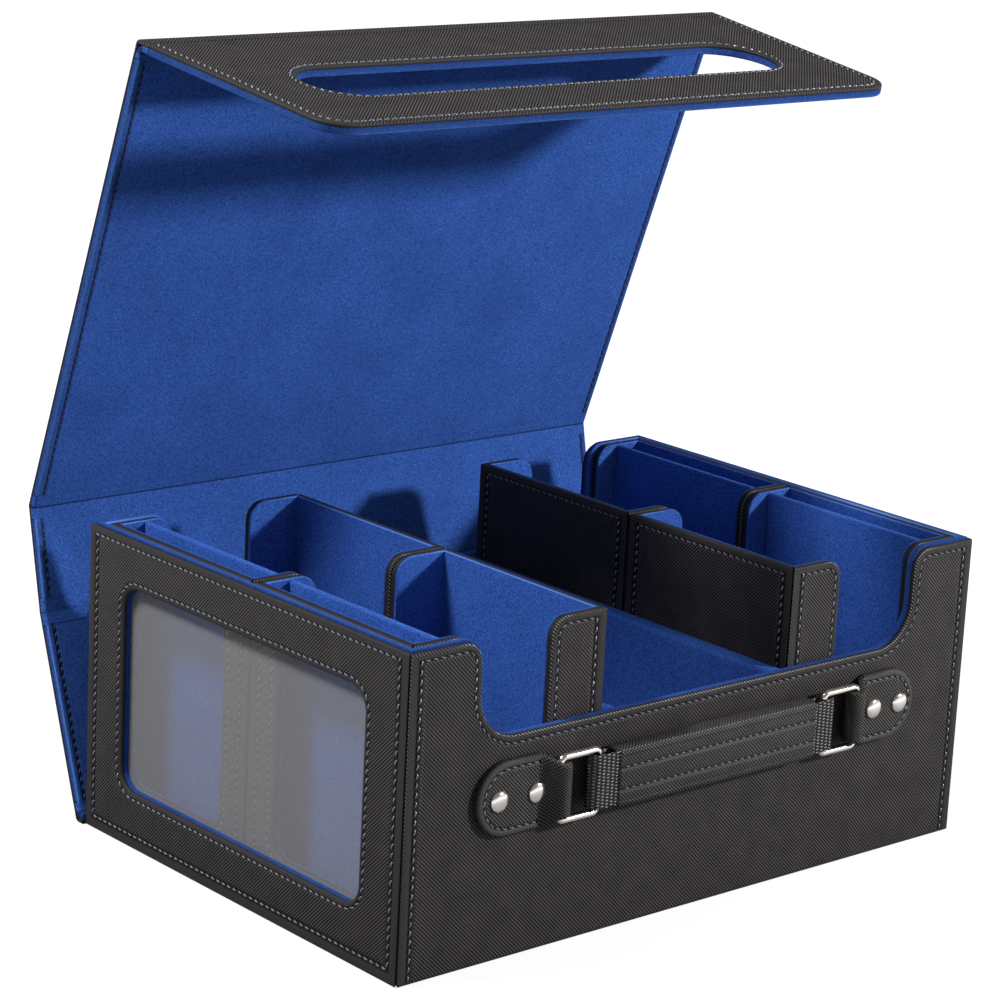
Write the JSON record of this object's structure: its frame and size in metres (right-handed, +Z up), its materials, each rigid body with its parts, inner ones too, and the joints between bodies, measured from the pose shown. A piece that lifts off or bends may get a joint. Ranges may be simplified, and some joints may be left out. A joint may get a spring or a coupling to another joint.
{
  "type": "card storage box",
  "caption": "Leather-covered card box with a folding cover and slotted flap, lift-out trays with display slots behind side windows, an open middle lane and a front carrying handle.",
  "frame": {"origin": "on the table under the middle of the tub", "axes": "+Z up, +X to the right along the front wall, front wall faces -Y"},
  "size_m": [0.3028, 0.2563, 0.3242],
  "materials": {
    "black_leather": "fine cross-hatched grain, satin, blue stitching",
    "tray_board": "board covered in thin black grained leather, blue stitching",
    "blue_suede": "napped microfibre suede",
    "board": "grey-brown pressed board",
    "clear_film": "clear, slightly hazy",
    "nickel": "polished nickel plate",
    "hidden_steel": "plain",
    "webbing": "ribbed black webbing",
    "grip_foam": "soft foam rubber"
  },
  "bodies": {
    "tub": {"front_wall_leather": "black_leather", "front_wall_board": "board", "front_wall_lining": "blue_suede", "rear_wall_leather": "black_leather", "rear_wall_board": "board", "rear_wall_lining": "blue_suede", "left_wall_leather": "black_leather", "left_wall_board": "board", "left_wall_lining": "blue_suede", "right_wall_leather": "black_leather", "right_wall_board": "board", "right_wall_lining": "blue_suede", "floor_leather": "black_leather", "floor_board": "board", "floor_lining": "blue_suede", "left_window_film": "clear_film", "right_window_film": "clear_film", "left_lane_divider": "blue_suede", "right_lane_divider": "blue_suede", "front_wall_plates": "hidden_steel", "left_handle_tab": "black_leather", "right_handle_tab": "black_leather", "handle_rivets": "nickel", "base_fold": "black_leather"},
    "back_lower": {"back_lower_leather": "black_leather", "back_lower_board": "board", "back_lower_lining": "blue_suede", "crease_fold": "black_leather"},
    "back_upper": {"back_upper_leather": "black_leather", "back_upper_board": "board", "back_upper_lining": "blue_suede", "lid_fold": "black_leather"},
    "lid": {"lid_leather": "black_leather", "lid_board": "board", "lid_lining": "blue_suede", "flap_fold": "black_leather"},
    "flap": {"flap_leather": "black_leather", "flap_board": "board", "flap_lining": "blue_suede", "flap_magnets": "hidden_steel"},
    "left_front_tray": {"left_front_tray_shell": "tray_board", "left_front_tray_lining": "blue_suede", "left_front_tray_pocket_panel": "blue_suede"},
    "left_rear_tray": {"left_rear_tray_shell": "tray_board", "left_rear_tray_lining": "blue_suede", "left_rear_tray_pocket_panel": "blue_suede"},
    "right_front_tray": {"right_front_tray_shell": "tray_board", "right_front_tray_lining": "blue_suede", "right_front_tray_pocket_panel": "blue_suede"},
    "right_rear_tray": {"right_rear_tray_shell": "tray_board", "right_rear_tray_lining": "blue_suede", "right_rear_tray_pocket_panel": "blue_suede"},
    "grip": {"grip_sleeve": "black_leather", "grip_core": "grip_foam", "left_webbing_loop": "webbing", "right_webbing_loop": "webbing"},
    "left_ring": {"left_handle_ring": "nickel"},
    "right_ring": {"right_handle_ring": "nickel"}
  },
  "joints": [
    {"name": "base_hinge", "type": "hinge", "parent": "tub", "child": "back_lower", "pos_m": [0, 0.1043, 0.0023], "axis": [-1, 0, 0], "range_deg": [-19.92, 10.79]},
    {"name": "crease_hinge", "type": "hinge", "parent": "back_lower", "child": "back_upper", "pos_m": [0, 0.13323, 0.08222], "axis": [-1, 0, 0], "range_deg": [-4.24, 7.82]},
    {"name": "lid_hinge", "type": "hinge", "parent": "back_upper", "child": "lid", "pos_m": [0, 0.14246, 0.12525], "axis": [-1, 0, 0], "range_deg": [-58.4, 31.6]},
    {"name": "flap_hinge", "type": "hinge", "parent": "lid", "child": "flap", "pos_m": [0, 0.07282, 0.32188], "axis": [-1, 0, 0], "range_deg": [-11.1, 78.9]},
    {"name": "left_front_tray_lift", "type": "slide", "parent": "tub", "child": "left_front_tray", "axis": [0, 0, 1], "range_m": [0, 0.13]},
    {"name": "left_rear_tray_lift", "type": "slide", "parent": "tub", "child": "left_rear_tray", "axis": [0, 0, 1], "range_m": [0, 0.115]},
    {"name": "right_front_tray_lift", "type": "slide", "parent": "tub", "child": "right_front_tray", "axis": [0, 0, 1], "range_m": [0, 0.13]},
    {"name": "right_rear_tray_lift", "type": "slide", "parent": "tub", "child": "right_rear_tray", "axis": [0, 0, 1], "range_m": [0, 0.115]},
    {"name": "grip_pull", "type": "slide", "parent": "tub", "child": "grip", "axis": [0, -1, 0], "range_m": [0, 0.005]},
    {"name": "left_ring_swing", "type": "hinge", "parent": "tub", "child": "left_ring", "pos_m": [-0.0795, -0.107, 0.065], "axis": [0, 0, -1], "range_deg": [0, 15.44]},
    {"name": "right_ring_swing", "type": "hinge", "parent": "tub", "child": "right_ring", "pos_m": [0.0795, -0.107, 0.065], "axis": [0, 0, 1], "range_deg": [0, 15.44]}
  ],
  "couplings": [
    {"joint": "base_hinge", "follows": "lid_hinge", "ratio": 0.34075},
    {"joint": "crease_hinge", "follows": "lid_hinge", "ratio": -0.13356},
    {"joint": "left_ring_swing", "follows": "grip_pull", "rad_per_m": 53.839},
    {"joint": "right_ring_swing", "follows": "grip_pull", "rad_per_m": 53.839}
  ]
}
